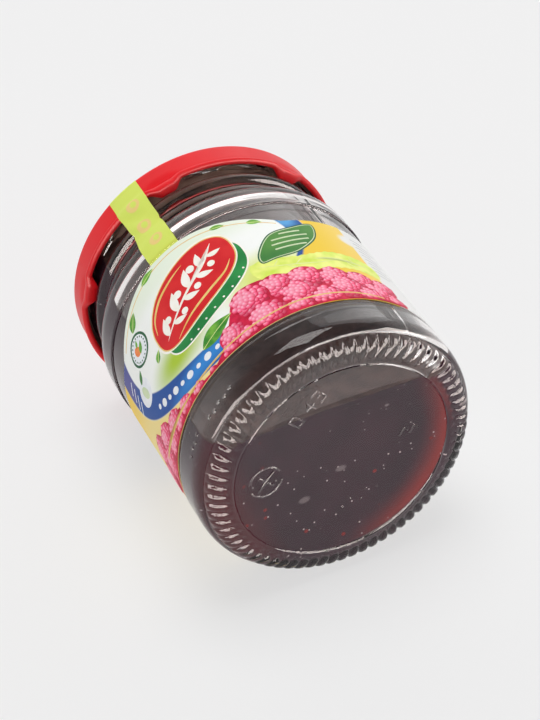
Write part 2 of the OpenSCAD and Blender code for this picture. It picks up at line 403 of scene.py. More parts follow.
def innerOutline(grow, endHeight):
    # the inside of the glass from the mouth down to the bottom, pushed out by grow
    wallR, neckR = innerR + grow, mouthR + grow
    bend, low = glass["shoulderHigh"] - 2, glass["bottom"] + innerHeel
    return joinOutline(
        linePoints((neckR, endHeight), (neckR, neckFoot - 1), 3),
        arcPoints(wallR - 4, bend, 4, 7, 72, 0, 9),
        linePoints((wallR, bend), (wallR, low), 3),
        arcPoints(wallR - innerHeel, low - grow, innerHeel, innerHeel, 0, -84, 12))


def markStrokes():
    # raised marks of the base, seen from outside with the lying jar's top up
    ringX, ringZ, ringR = -23.5, 1.5, 5.1
    strokes = [arcPoints(ringX, ringZ, ringR, ringR, start, start + 140, 21) for start in (25, 205)]
    strokes += [[(-26.0, -1.2), (-21.0, 4.2)], [(-25.4, 3.6), (-23.9, 2.2)], [(-22.9, 0.8), (-21.4, -0.6)]]
    # three plain numerals on a slope, as strokes in a box one wide and one high
    numerals = (
        (0.0, ((0, 0), (1, 0), (1, 1), (0, 1), (0, 0))),
        (5.6, ((0.8, 0), (0.8, 1), (0, 0.4), (1.15, 0.4))),
        (9.8, ((0.3, 0.55), (1, 0.55), (1, 1), (0, 1))),
        (9.8, ((1, 0.55), (1, 0), (0, 0))),
    )
    startX, startZ, wide, tall = -12.2, 17.2, 2.4, 4.4
    slope = math.radians(42)
    for along, corners in numerals:
        line = []
        for px, py in corners:
            qx, qy = along + px * wide, py * tall
            line.append((startX + qx * math.cos(slope) - qy * math.sin(slope),
                         startZ + qx * math.sin(slope) + qy * math.cos(slope)))
        strokes.append(line)
    # a row of dots low in the base and two ticks on its right
    for i in range(5):
        a = math.radians(-92 + 9 * i)
        reach = 19 - 2.2 * (i % 2)
        x, z = reach * math.cos(a), reach * math.sin(a)
        strokes.append([(x, z), (x + 0.1, z)])
    for at in (18.6, 21.8):
        strokes.append([(at, 0.6), (at + 1.6, 3.0), (at + 2.4, 1.6)])
    return strokes


def makeMarks(material):
    # each stroke is a low rounded ridge that stands half in the base
    points, faces = [], []
    sides, tipLength, tipShare = 10, 0.28, 0.35
    around = fullTurn(sides)
    for line in markStrokes():
        line = np.array(line, dtype=float)
        along = np.gradient(line, axis=0)
        along /= np.linalg.norm(along, axis=1)[:, None]
        line = np.vstack([line[0] - tipLength * along[0], line, line[-1] + tipLength * along[-1]])
        along = np.vstack([along[0], along, along[-1]])
        side = np.stack([-along[:, 1], along[:, 0]], axis=-1)
        swell = np.r_[tipShare, np.ones(len(line) - 2), tipShare]
        faces += tubeFaces(len(line), sides, len(points))
        for (x, y), (sx, sy), share in zip(line, side, swell):
            for a in around:
                across = glass["markWidth"] / 2 * share * math.cos(a)
                px, py = x + sx * across, y + sy * across
                height = baseHeight(math.hypot(px, py)) - glass["markHeight"] * share * math.sin(a)
                points.append((px * mm, (height + place["baseY"]) * mm, (py + place["axisZ"]) * mm))
    piece = newObject("baseMarks", points, faces, [material])
    outwardNormals(piece)
    return piece


def makeStuds(material):
    # two short rows of small domes on the heel band: first turn, step in degrees and height of each dome
    rows = ((41, 3.4, (9.4, 8.6, 9.2, 8.4, 9.0)), (64, 3.2, (10.4, 9.8, 10.4, 9.8)))
    domeRadius, domeRise, sides = 0.75, 0.4, 14
    arc = np.linspace(-0.5, math.pi / 2 - 0.12, 5)
    dome = [(domeRadius * math.cos(t), domeRise * math.sin(t)) for t in arc]
    bandR = place["bandRadius"]
    points, faces = [], []
    for start, step, heights in rows:
        for i, height in enumerate(heights):
            faces += tubeFaces(len(dome), sides, len(points))
            for out, lift in dome:
                for a in fullTurn(sides):
                    turn = math.radians(start + step * i) + out * math.cos(a) / bandR
                    points.append(tuple(toWorld(bandR + lift, height + out * math.sin(a), turn)))
    piece = newObject("heelStuds", points, faces, [material])
    outwardNormals(piece)
    return piece


def glassOutline():
    heel, curve = glass["heelRadius"], glass["bandCurve"]
    bandR, neckR, rim = place["bandRadius"], glass["neckRadius"], place["rimHeight"]
    low, high = glass["shoulderLow"], glass["shoulderHigh"]
    lip, standR, footR = 1.1, baseR + 0.9, neckR - 0.3
    outer = joinOutline(
        # hollow base, bearing ring, heel and heel band
        baseLine(0, 0.0, baseR - 0.45, 8),
        [(baseR - 0.15, 0.62), (baseR + 0.1, 0.3), (baseR + 0.45, 0.12), (standR, 0.0)],
        linePoints((standR, 0.0), (heelMidR, 0.0), 7),
        arcPoints(heelMidR, heel, heel, heel, -90, 0, 16),
        arcPoints(heelTopR, heel + curve, glass["heelStep"], curve, -86, 0, 10),
        linePoints((bandR, 8.6), (bandR, 15.6), 2),
        arcPoints(bandR - 0.5, 16.0, 0.5, 1.2, 0, 90, 4),
        # label panel and shoulder band
        [(panelR, 17.4)],
        linePoints((panelR, 19.0), (panelR, 60.0), 2),
        linePoints((panelR, 62.0), (panelR, low), 2),
        arcPoints(panelR + 0.25, low + 0.6, 0.25, 0.6, -90, 0, 3),
        linePoints((bandR, low + 1.2), (bandR, high), 2),
        arcPoints(bandR - 2.0, high, 2.0, 5.5, 0, 86, 11),
        # neck with its bead, and the mouth
        [(neckR + 0.9, shoulderEdge + 0.2), (neckR - 0.1, shoulderEdge + 0.9),
         (neckR - 0.4, neckFoot - 0.8), (footR, neckFoot)],
        arcPoints(footR, neckFoot + 2.3, 0.55, 2.0, -80, 80, 5),
        arcPoints(neckR, beadMid, 1.2, 2.2, -80, 80, 9),
        linePoints((neckR, beadMid + 2.4), (neckR, rim - lip), 10),
        arcPoints(neckR - lip, rim - lip, lip, lip, 0, 90, 4),
        arcPoints(mouthR + lip, rim - lip, lip, lip, 90, 180, 4))
    bottom = baseLine(glass["bottom"], innerR - 2 * innerHeel, 0, 5)
    return outer, joinOutline(innerOutline(0, rim - 2 * lip), bottom)


def makeGlass(material):
    outer, inner = glassOutline()
    outline = np.vstack([outer, inner])
    columns = glass["columns"]
    radius, height, turn = turnedGrid(outline, columns)
    rings = len(radius)
    isOuter = np.arange(rings) < len(outer) - 1
    onOuter = isOuter[:, None]
    degrees = np.degrees((turn + math.pi) % (2 * math.pi) - math.pi)

    # the mould's parting line, a fine fin on both sides of the jar
    fin = np.zeros_like(radius)
    for side in (0, 180):
        offset = (degrees - glass["seamTurn"] - side + 180) % 360 - 180
        fin = np.maximum(fin, 1 - np.abs(offset) / glass["seamHalf"])
    clear = ((height > 3.0) & (height < 16.5)) | ((height > 60.5) & (height < 91))
    radius = radius + np.where(onOuter & clear, fin * glass["seamHeight"], 0)

    # sloping thread ramps under the lid
    ramps = np.zeros_like(radius)
    for i in range(6):
        along = (degrees - place["frontTurn"] - 14 - 60 * i + 180) % 360 - 180
        shape = smoothStep(-26, -20, along) * (1 - smoothStep(18, 26, along))
        away = np.abs(height - glass["threadMid"] + along * glass["threadSlope"])
        ramps = np.maximum(ramps, shape * np.clip(1.4 - away / 0.8, 0, 1))
    radius = radius + np.where(onOuter & (height > 94), ramps * glass["threadOut"], 0)

    points = turnedPoints(outline, radius, height, turn)
    points[:, 2] = np.maximum(points[:, 2], 0)      # the small flats that the jar lies on
    piece = newObject("jarGlass", points, turnedFaces(rings, columns), [material])

    # how far each point lies along the heel's curve: 0 in the middle of a rib, noRib where there are none
    noRib, ribStart, ribLength = 9.0, baseR + 1.3, 8.2
    middle = outline[1:-1]
    steps = np.r_[0, np.cumsum(np.hypot(*np.diff(middle, axis=0).T))]
    startAt = steps[np.argmin(np.abs(middle[:len(outer) - 1, 0] - ribStart))]
    along = (steps - startAt) / ribLength * 2 - 1
    along = np.where(isOuter & (np.abs(along) < 1), along, noRib)
    addAttribute(piece, "heelPlace", np.r_[noRib, np.repeat(along, columns), noRib])
    addAttribute(piece, "turnAngle", np.r_[0.0, turn.ravel(), 0.0])
    return piece


def ribTree(material):
    tree, start, end = newTree("heelRibs", {"ribCount": 72, "ribDepth": 0.5, "ribLean": 1.0, "ribCurve": 1.0})
    given = start.outputs
    sharpness, fading = 3.2, 1.2
    along = namedValue(tree, "heelPlace")
    square = product(tree, along, along)
    phase = product(tree, namedValue(tree, "turnAngle"), given["ribCount"])
    phase = calc(tree, "MULTIPLY_ADD", along, given["ribLean"], phase)
    phase = calc(tree, "MULTIPLY_ADD", square, given["ribCurve"], phase)
    wave = calc(tree, "MULTIPLY_ADD", calc(tree, "COSINE", phase), 0.5, 0.5)
    wave = calc(tree, "POWER", wave, sharpness)
    window = calc(tree, "SUBTRACT", 1.0, calc(tree, "POWER", square, fading), clamp=True)
    sunk = product(tree, wave, window, given["ribDepth"], -mm)
    normal = tree.nodes.new("GeometryNodeInputNormal").outputs[0]
    offset = addNode(tree, "ShaderNodeVectorMath", {"operation": "SCALE"}, {0: normal, "Scale": sunk})
    inputs = {"Geometry": given[0], "Offset": offset.outputs[0]}
    moved = addNode(tree, "GeometryNodeSetPosition", inputs=inputs)
    closeTree(tree, end, moved.outputs[0], material)
    return tree


def glassMaterial():
    material, tree, shader = newMaterial("clearGlass")
    setShader(shader, colour=(0.985, 0.948, 0.932, 1), roughness=0.0, ior=1.5, transmission=1.0)
    bumpFrom(tree, shader, noiseOf(tree, objectPlace(tree), 60.0, 1.0), 0.12, 0.0004)
    return material


clearGlass = glassMaterial()
jarGlass = makeGlass(clearGlass)
outwardNormals(jarGlass)
ribValues = {key: glass[key] for key in ("ribCount", "ribDepth", "ribLean", "ribCurve")}
runTree(jarGlass, ribTree(clearGlass), ribValues)
finishPiece(jarGlass, "clear_glass", "glass_jar")
finishPiece(makeMarks(clearGlass), "clear_glass")
finishPiece(makeStuds(clearGlass), "clear_glass")
print("glass jar:", len(jarGlass.data.polygons), "faces")

# jam
jam = {
    "intoWall": 0.3,       # how far the jam reaches into the glass
    "acrossTop": 64,
    "around": 180,
    "meniscus": 1.6,
    "lumps": 0.45,
    "capRings": 18,
    "dark": srgb(50, 27, 40),
    "pulp": srgb(62, 33, 47),
    "glow": srgb(142, 42, 40),
    "leftGlow": srgb(88, 32, 36),
    "topDark": srgb(58, 36, 34),
    "topPale": srgb(96, 72, 68),
    "seedPale": srgb(150, 138, 140),
    # across, up and the two half sizes of each seed
    "seeds": ((0.7, -6.2, 1.6, 1.0), (-11.5, -13.0, 1.7, 1.1), (16.0, 12.0, 0.7, 0.5)),
    # cells in a metre, share left out, size and tone of the specks
    "specks": ((560.0, 0.80, 0.15, srgb(206, 192, 192)), (170.0, 0.84, 0.11, srgb(132, 30, 32))),
}


def jamSpecks(tree, spot, x, z, colour):
    # fine bubbles, red flecks of fruit and pale seeds that lie against the bottom
    for scale, few, size, tone in jam["specks"]:
        cells = addNode(tree, "ShaderNodeTexVoronoi", inputs={"Vector": spot, "Scale": scale})
        chosen = addNode(tree, "ShaderNodeSeparateColor", inputs={0: cells.outputs["Color"]})
        rare = calc(tree, "GREATER_THAN", chosen.outputs[0], few)
        core = oneMinus(tree, softStep(tree, cells.outputs["Distance"], size * 0.6, size * 1.4))
        lower = calc(tree, "MULTIPLY_ADD", softStep(tree, z, 0.012, -0.012), 0.75, 0.25)
        colour = blendColour(tree, product(tree, rare, core, lower), colour, tone)
    for atX, atZ, halfX, halfZ in jam["seeds"]:
        seed = softSpot(tree, x, z, (atX * mm, atZ * mm), (halfX * mm, halfZ * mm), 0.4)
        colour = blendColour(tree, product(tree, seed, 0.5), colour, jam["seedPale"])
    return colour


def jamMaterials():
    body, tree, shader = newMaterial("jamBody")
    spot = objectPlace(tree)
    pulp = ramp(tree, noiseOf(tree, spot, 70.0, 3.0), [(0.35, jam["dark"]), (0.75, jam["pulp"])])
    # light through the jam's thinner edge low on the right glows red
    inputs = {"Vector": spot, "Location": (0, 0, -place["axisZ"] * mm)}
    centred = addNode(tree, "ShaderNodeMapping", inputs=inputs)
    x, y, z = addNode(tree, "ShaderNodeSeparateXYZ", inputs={0: centred.outputs[0]}).outputs
    radial = crossLength(tree, x, z)
    rim = calc(tree, "POWER", softStep(tree, radial, 0.0235, 0.0345), 2.0)
    inside = oneMinus(tree, softStep(tree, radial, 0.0342, 0.0362))
    toRight = softStep(tree, slanted(tree, x, z, 0.9, -0.42), 0.012, 0.034)
    nearBase = oneMinus(tree, softStep(tree, y, -0.047, -0.040))
    colour = blendColour(tree, product(tree, rim, toRight, nearBase, inside), pulp, jam["glow"])
    toLeft = softStep(tree, slanted(tree, x, z, -0.97, -0.25), 0.022, 0.038)
    colour = blendColour(tree, product(tree, toLeft, nearBase, 0.8), colour, jam["leftGlow"])
    setShader(shader, colour=jamSpecks(tree, spot, x, z, colour), roughness=0.35, specular=0.05)
    surface = mottled("jamSurface", 220.0, 4.0, [(0.3, jam["topDark"]), (0.8, jam["topPale"])],
                      bump=(220.0, 4.0, 0.25, 0.0006), roughness=0.3, specular=0.2)
    return body, surface


def jamTop(radius, height, level, ends, waves):
    # one line of points across the jam's level top, a little lumpy and drawn up where it meets the glass
    half = math.sqrt(radius ** 2 - level ** 2)
    x = np.linspace(1, -1, jam["acrossTop"], endpoint=False) * half
    wallGap = np.minimum(half - np.abs(x), min(height - ends[0], ends[1] - height))
    rise = jam["meniscus"] * np.exp(-wallGap / 1.1)
    lumps = sum(a * np.sin(x * 0.35 * b + height * 0.3 * c + 6 * d) for a, b, c, d in waves) / 5
    z = level + rise * 0.8 + lumps * jam["lumps"] * smoothStep(0, 6, wallGap)
    z = np.minimum(z, np.sqrt(np.maximum(radius ** 2 - x ** 2, 0)))
    y = np.full_like(x, height + place["baseY"])
    return np.stack([x, y, z + place["axisZ"]], axis=-1) * mm


def jamCap(rim):
    # the end at the base is laid in rings that follow the hollow of the glass bottom
    middle = np.array([0, 0, place["axisZ"] * mm - 0.004])
    rings = []
    for share in np.linspace(0, 1, jam["capRings"], endpoint=False)[1:]:
        ring = middle + (rim - middle) * share
        away = np.hypot(ring[:, 0], ring[:, 2] - place["axisZ"] * mm) / mm
        followed = (baseHeight(away) + glass["bottom"] - jam["intoWall"] + place["baseY"]) * mm
        ring[:, 1] = rim[:, 1] + (followed - rim[:, 1]) * smoothStep(1.0, 0.8, share)
        rings.append(ring)
    return rings


def makeJam():
    outline = innerOutline(jam["intoWall"], place["lidTop"] - 1.35)[::-1]
    bottom = outline[0][1] - 0.25
    fine = densePath([(outline[0][0] - 0.6, bottom), *outline], 1.2, int)
    level = place["jamTop"] - place["axisZ"]
    waves = np.random.default_rng(7).uniform(-1, 1, (14, 4))
    points = []
    for radius, height in fine:
        edge = math.acos(level / radius)
        turns = np.linspace(edge, 2 * math.pi - edge, jam["around"], endpoint=False)
        points.append(toWorld(radius, height, turns))
        points.append(jamTop(radius, height, level, (bottom, fine[-1][1]), waves))
    points = np.vstack(points)
    columns = jam["around"] + jam["acrossTop"]
    rings = jamCap(points[:columns])
    points = np.vstack(rings + [points])
    rows = len(fine) + len(rings)
    lastRow = (rows - 1) * columns
    points = np.vstack([points, points[:columns].mean(axis=0), points[lastRow:].mean(axis=0)])
    start, end = rows * columns, rows * columns + 1
    faces = gridFaces(rows, columns, True)
    faces += [(start, (j + 1) % columns, j) for j in range(columns)]
    faces += [(end, lastRow + j, lastRow + (j + 1) % columns) for j in range(columns)]
    piece = newObject("jamFill", points, faces, jamMaterials())
    firstTop = len(rings) * columns
    for polygon in piece.data.polygons:
        onTop = firstTop <= polygon.index < lastRow and polygon.index % columns >= jam["around"]
        polygon.material_index = 1 if onTop else 0
    return piece


jamFill = makeJam()
outwardNormals(jamFill)
finishPiece(jamFill, "berry_jam", "jam")
print("jam:", len(jamFill.data.polygons), "faces")

# lid
lid = {
    "columns": 720,
    "sheet": 0.25,
    "skirtIn": 42.0,
    "curl": 1.0,
    "round": 1.4,
    "sink": 1.0,
    "sinkRadius": 33.7,
    "buttonRadius": 14.0,
    "buttonRise": 0.6,
    "lugTurn": 16.0,
    "lugHalf": 8.5,        # degrees
    "lugDrop": 1.5,
    "lugIn": 1.7,
}


def lidMaterial():
    return mottled("redEnamel", 35.0, 2.0, [(0.3, srgb(228, 18, 28)), (0.75, srgb(236, 26, 34))],
                   bump=(900.0, 2.0, 0.08, 0.0001),
                   roughness=0.4, specular=0.2, coat=0.12, coatRoughness=0.08)


def liningMaterial():
    # the inner side of the lid, dull and smeared with jam
    return mottled("lidLining", 120.0, 3.0, [(0.35, srgb(134, 106, 96)), (0.7, srgb(186, 160, 146))],
                   roughness=0.5, specular=0.3)


def makeLid():
    top, inR, sheet = place["lidTop"], lid["skirtIn"], lid["sheet"]
    skirtOut = inR + sheet
    corner, curl = lid["round"], lid["curl"]
    curlR = inR - curl / 4
    curlH = place["lidEdge"] + curl
    sinkR, buttonR, sunk = lid["sinkRadius"], lid["buttonRadius"], lid["sink"]
    raised = sunk - lid["buttonRise"]
    # radius and depth of the lid's top from its rim to the middle of the button
    panel = ((skirtOut - 4.5, 0), (sinkR + 1.6, 0), (sinkR + 1.1, 0.15), (sinkR + 0.4, sunk - 0.15),
             (sinkR, sunk), (26, sunk), (buttonR + 2.2, sunk), (buttonR + 1.4, sunk - 0.1),
             (buttonR + 0.3, raised + 0.1), (buttonR - 0.6, raised), (5, raised), (0, raised))
    outside = joinOutline(
        [(radius, top - depth) for radius, depth in panel[::-1]],
        arcPoints(skirtOut - corner, top - corner, corner, corner, 90, 0, 10),
        linePoints((skirtOut, top - corner), (skirtOut, place["lidEdge"] + 2.9), 6),
        arcPoints(curlR, curlH, curl, curl, 62, -180, 22))
    inside = joinOutline(
        [(curlR - curl * 0.8, curlH + 0.6), (inR - 0.35, curlH + 0.95), (inR, curlH + 1.6)],
        linePoints((inR, curlH + 1.6), (inR, top - corner), 4),
        arcPoints(skirtOut - corner, top - corner, corner - sheet, corner - sheet, 0, 90, 6),
        [(radius, top - depth - sheet) for radius, depth in panel])
    outline = np.vstack([outside, inside])
    columns = lid["columns"]
    radius, height, turn = turnedGrid(outline, columns)

    # the lugs: stretches of the curl pressed inwards and down
    away = np.abs((np.degrees(turn) - lid["lugTurn"] + 30) % 60 - 30)
    press = 1 - smoothStep(lid["lugHalf"] * 0.35, lid["lugHalf"], away)
    nearCurl = 1 - smoothStep(curlH - 0.2, curlH + 2.6, height)
    innerSide = smoothStep(curlR + 0.9, curlR - 0.9, radius) * nearCurl
    radius = radius - press * (innerSide * lid["lugIn"] + nearCurl * 0.45)
    height = height - press * nearCurl * lid["lugDrop"] * smoothStep(curlH + 2.6, curlH - 0.8, height)

    points = turnedPoints(outline, radius, height, turn)
    materials = [lidMaterial(), liningMaterial()]
    piece = newObject("lidShell", points, turnedFaces(len(radius), columns), materials)
    firstInside = columns * (len(outside) + 1)
    for polygon in piece.data.polygons:
        polygon.material_index = 1 if polygon.index > firstInside else 0
    return piece


lidShell = makeLid()
outwardNormals(lidShell)
finishPiece(lidShell, "red_enamel", "lid")
print("lid:", len(lidShell.data.polygons), "faces")

# label and seal strip
label = {
    "inside": 42.85,
    "paper": 0.2,
    "low": 18.4,
    "high": 59.7,
    "arch": 9.5,
    "archHalf": 31.4,
    "stripHalf": 7.3,      # degrees
    "stripStart": 68.3,
    "stripTop": 6.0,
}
labelR = label["inside"] + label["paper"]
archR = (label["archHalf"] ** 2 + label["arch"] ** 2) / (2 * label["arch"])


def topEdge(degreesFromFront):
    # height of the label's upper edge; its front rises in an arch
    across = labelR * np.sin(np.radians(degreesFromFront))
    rise = np.sqrt(np.maximum(archR ** 2 - across ** 2, 0)) - archR + label["arch"]
    return label["high"] + np.where(np.abs(degreesFromFront) < 90, np.maximum(rise, 0), 0)


def stripPath():
    # the strip's line from the label over the shoulder, across the neck, up the skirt and onto the lid
    off, gap, bend = 0.08, 0.1, 1.4
    skirt = lid["skirtIn"] + lid["sheet"] + off
    curlOut = lid["skirtIn"] + 0.75 * lid["curl"] + off
    top = place["lidTop"] + 0.06
    bandR, shoulder = place["bandRadius"], glass["shoulderHigh"]
    return joinOutline(
        [(labelR + 0.05, label["stripStart"]), (labelR + 0.05, 69.4)],
        [(bandR + gap, 70.9), (bandR + gap, shoulder)],
        arcPoints(bandR - 2.0, shoulder, 2.0 + gap, 5.5 + gap, 0, 44, 5),
        [(42.35, 80.6), (42.0, 83.0), (41.85, 86.0), (41.95, 89.0), (42.3, 92.0), (42.75, 94.2)],
        [(curlOut, 95.4), (curlOut, 96.2), (skirt + 0.1, 97.4), (skirt, 98.4), (skirt, top - 1.5)],
        arcPoints(skirt - bend, top - bend, bend, bend, 12, 90, 6),
        [(skirt - 3.0, top), (skirt - label["stripTop"], top)])


def paperBack():
    return mottled("paperBack", 60.0, 2.0, [(0.3, srgb(226, 204, 194)), (0.7, srgb(240, 224, 214))],
                   roughness=0.7, specular=0.2)


def columnsOf(line, count):
    return np.repeat(line[:, None], count, axis=1)


def stripGrid(across):
    # upper and under side of the strip, with a crumple or two where it crosses the neck, and the way along it
    path = densePath(stripPath(), 0.55)
    length = np.r_[0, np.cumsum(np.hypot(*np.diff(path, axis=0).T))]
    radius, high = (columnsOf(line, len(across)) for line in path.T)
    wide = np.repeat(across[None, :], len(path), axis=0)
    free = smoothStep(79, 83, high) * (1 - smoothStep(91, 95, high))
    for a, b, c in np.random.default_rng(11).uniform(-1, 1, (7, 3)):
        radius = radius + free * 0.16 * a * np.sin(high * (0.7 + 0.5 * b) + wide * 0.5 * c + 5 * b)
    notch = free * (1 - smoothStep(0, 1.6, np.abs(high - 84.6 + wide * 0.1)))
    wide = wide * (1 - 0.07 * notch - 0.03 * free)
    turn = np.radians(place["frontTurn"] - wide)
    normal = np.gradient(path, axis=0)
    normal = np.stack([normal[:, 1], -normal[:, 0]], axis=-1)
    normal /= np.linalg.norm(normal, axis=1)[:, None]
    thin = np.minimum(label["paper"], 0.03 + 0.2 * smoothStep(68, 72, path[:, 1]))[:, None]
    under = toWorld(radius - normal[:, :1] * thin, high - normal[:, 1:] * thin, turn)
    return toWorld(radius, high, turn), under, label["stripStart"] + length


def makeLabel(material):
    half, rows, low = label["stripHalf"], 48, label["low"]
    columns = np.concatenate([np.linspace(-180, -half, 345, endpoint=False), np.linspace(-half, half, 33),
                              np.linspace(half, 180, 345, endpoint=False)[1:]])
    count = len(columns)
    share = np.linspace(0, 1, rows)[:, None]
    height = low + share * (topEdge(columns)[None, :] - low)
    turn = np.radians(place["frontTurn"] - columns)[None, :]      # columns run to the right as seen
    outer = toWorld(labelR, height, turn).reshape(-1, 3)
    inner = toWorld(label["inside"], height, turn).reshape(-1, 3)
    shift, top = len(outer), (rows - 1) * count
    faces = gridFaces(rows, count, True)
    faces += [tuple(shift + i for i in face[::-1]) for face in faces]
    for j in range(count):
        k = (j + 1) % count
        faces.append((j, shift + j, shift + k, k))
        faces.append((top + j, top + k, shift + top + k, shift + top + j))
    mmPerDegree = math.radians(1) * labelR
    sheetUv = np.stack([np.tile(columns * mmPerDegree, rows), height.ravel()], axis=-1)

    # the strip goes on from the label's top edge
    across = columns[np.abs(columns) <= half + 1e-6]
    upper, under, along = stripGrid(across)
    n, steps = len(across), len(along)
    stripUv = np.stack([np.tile(across * mmPerDegree, steps), np.repeat(along, n)], axis=-1)
    points = np.vstack([outer, inner, upper.reshape(-1, 3), under.reshape(-1, 3)])
    uv = np.vstack([sheetUv, sheetUv, stripUv, stripUv])

    base = 2 * shift
    below = base + steps * n
    faces += gridFaces(steps, n, False, base)
    faces += [tuple(face[::-1]) for face in gridFaces(steps, n, False, below)]
    for i in range(steps - 1):
        for j in (0, n - 1):
            a, b = base + i * n + j, base + (i + 1) * n + j
            c, d = below + i * n + j, below + (i + 1) * n + j
            faces.append((a, b, d, c) if j else (b, a, c, d))
    endRow, endBelow = base + (steps - 1) * n, below + (steps - 1) * n
    faces += [(endRow + j, endRow + j + 1, endBelow + j + 1, endBelow + j) for j in range(n - 1)]
    faces += [(base + j + 1, base + j, below + j, below + j + 1) for j in range(n - 1)]

    piece = newObject("labelSheet", points, faces, [material, paperBack()])
    for polygon in piece.data.polygons:
        polygon.material_index = 1 if top <= polygon.index < 2 * top else 0
    layer = piece.data.uv_layers.new(name="sheet")
    loops = np.zeros(len(piece.data.loops), dtype=np.int32)
    piece.data.loops.foreach_get("vertex_index", loops)
    layer.data.foreach_set("uv", uv[loops].astype(np.float32).ravel())
    return piece


def stripColour(tree, u, v):
    # lime strip with three faint round ornaments
    colour = srgb(218, 232, 104)
    for centreU, centreV, size in ((0.6, 76.0, 2.3), (-0.4, 85.4, 2.6), (0.4, 95.0, 2.4)):
        disc = softSpot(tree, u, v, (centreU, centreV), (size, size), 0.12)
        hole = softSpot(tree, u, v, (centreU + 0.3, centreV + 0.3), (size * 0.45, size * 0.55), 0.25)
        ring = calc(tree, "SUBTRACT", disc, hole, clamp=True)
        colour = blendColour(tree, product(tree, ring, 0.75), colour, srgb(244, 204, 140))
    return colour


def labelMaterial():
    material, tree, shader = newMaterial("printedPaper")
    uv = addNode(tree, "ShaderNodeUVMap", {"uv_map": "sheet"}).outputs[0]
    u, v = addNode(tree, "ShaderNodeSeparateXYZ", inputs={0: uv}).outputs[:2]

    def spots(colour, *rows):
        # soft ellipses laid over a colour: centre, half sizes, softness and tone of each
        for centre, size, softness, tone in rows:
            colour = blendColour(tree, softSpot(tree, u, v, centre, size, softness), colour, tone)
        return colour

    colour = spots(srgb(250, 252, 248),
                   ((0, 66), (34, 7), 0.6, srgb(238, 246, 228)),
                   ((-14.5, 35), (11, 5.5), 0.8, srgb(176, 205, 60)),
                   ((22, 38), (13, 8), 0.7, srgb(222, 232, 120)))
    # the blue ring round the white oval field
    outside = oneMinus(tree, softSpot(tree, u, v, (-0.4, 52.4), (35.6, 25.0), 0.01))
    within = softSpot(tree, u, v, (-1.0, 52.4), (43.0, 32.5), 0.01)
    blue = spots(srgb(38, 84, 160),
                 ((-8.0, 24.5), (15, 3.0), 0.9, srgb(56, 138, 214)),
                 ((36.0, 59.5), (3.0, 3.0), 0.8, srgb(96, 170, 226)),
                 ((-42, 55), (9, 6), 0.5, srgb(92, 92, 158)))
    colour = blendColour(tree, product(tree, outside, within), colour, blue)
    # fields outside the ring: warm yellow to the left and right
    warm = blendColour(tree, softStep(tree, v, 36.0, 60.0), srgb(248, 226, 150), srgb(248, 208, 70))
    colour = blendColour(tree, oneMinus(tree, within), colour, warm)
    slant = calc(tree, "MULTIPLY_ADD", v, -0.55, u)
    right = product(tree, softStep(tree, slant, 10.4, 11.4), softStep(tree, u, 28.0, 30.0))
    deeper = blendColour(tree, softStep(tree, u, 40.0, 56.0), srgb(246, 208, 66), srgb(250, 216, 110))
    colour = blendColour(tree, right, colour, deeper)
    colour = spots(colour, ((56.5, 52.5), (4.5, 3.0), 0.3, srgb(240, 240, 236)))
    colour = blendColour(tree, softStep(tree, u, 55.4, 55.7), colour, srgb(238, 238, 236))
    # the lime strip above the front's edge
    nearFront = oneMinus(tree, softStep(tree, calc(tree, "ABSOLUTE", u), 5.6, 8.5))
    onStrip = product(tree, softStep(tree, v, 68.8, 69.1), nearFront)
    colour = blendColour(tree, onStrip, colour, stripColour(tree, u, v))
    setShader(shader, colour=colour, roughness=0.5, specular=0.15)
    bumpFrom(tree, shader, noiseOf(tree, uv, 6.0, 3.0), 0.06, 0.0001)
    return material


labelSheet = makeLabel(labelMaterial())
outwardNormals(labelSheet)
finishPiece(labelSheet, "printed_paper", "label")
print("label:", len(labelSheet.data.polygons), "faces")

# printed shapes on the label
printed = {
    "cut": 1.25,           # widest flat stretch of a printed shape round the jar
    "rise": 0.012,         # thickness of one printed layer
    "sunk": 0.06,
    "discSides": 12,
}


def smoothLoop(points, steps=7, closed=True):
    # a smooth line through the given points
    count = len(points)
    line = []
    for i in range(count if closed else count - 1):
        near = [i + k for k in (-1, 0, 1, 2)]
        near = [k % count if closed else min(max(k, 0), count - 1) for k in near]
        a, b, c, d = (np.array(points[k], dtype=float) for k in near)
        for t in np.arange(steps) / steps:
            curve = (2 * a - 5 * b + 4 * c - d) * t * t + (3 * b - a - 3 * c + d) * t ** 3
            line.append(tuple(0.5 * (2 * b + (c - a) * t + curve)))
    if not closed:
        line.append(tuple(points[-1]))
    return line


def openCurve(*points, steps=7):
    return smoothLoop(points, steps, closed=False)


def stroke(points, width, taper=False):
    # outline of a line of the given width
    line = np.array(points, dtype=float)
    along = np.gradient(line, axis=0)
    along /= np.linalg.norm(along, axis=1)[:, None] + 1e-9
    side = np.stack([-along[:, 1], along[:, 0]], axis=-1)
    half = np.full(len(line), width / 2)
    if taper:
        half = half * np.sin(np.linspace(0.12, math.pi - 0.12, len(line)))
    left = line + side * half[:, None]
    right = line - side * half[:, None]
    return [tuple(q) for q in np.vstack([right, left[::-1]])]


def oval(cu, cv, ru, rv, lean=0.0, count=36):
    a = fullTurn(count)
    c, s = math.cos(math.radians(lean)), math.sin(math.radians(lean))
    x, y = ru * np.cos(a), rv * np.sin(a)
    return list(zip(cu + x * c - y * s, cv + x * s + y * c))


def grow(outline, distance):
    # the same outline moved outwards all round
    line = np.array(outline)
    ahead = np.roll(line, -1, axis=0)
    along = ahead - np.roll(line, 1, axis=0)
    along /= np.linalg.norm(along, axis=1)[:, None] + 1e-9
    turnSign = 1 if np.sum(line[:, 0] * ahead[:, 1] - ahead[:, 0] * line[:, 1]) > 0 else -1
    out = np.stack([along[:, 1], -along[:, 0]], axis=-1) * turnSign
    return [tuple(q) for q in line + out * distance]


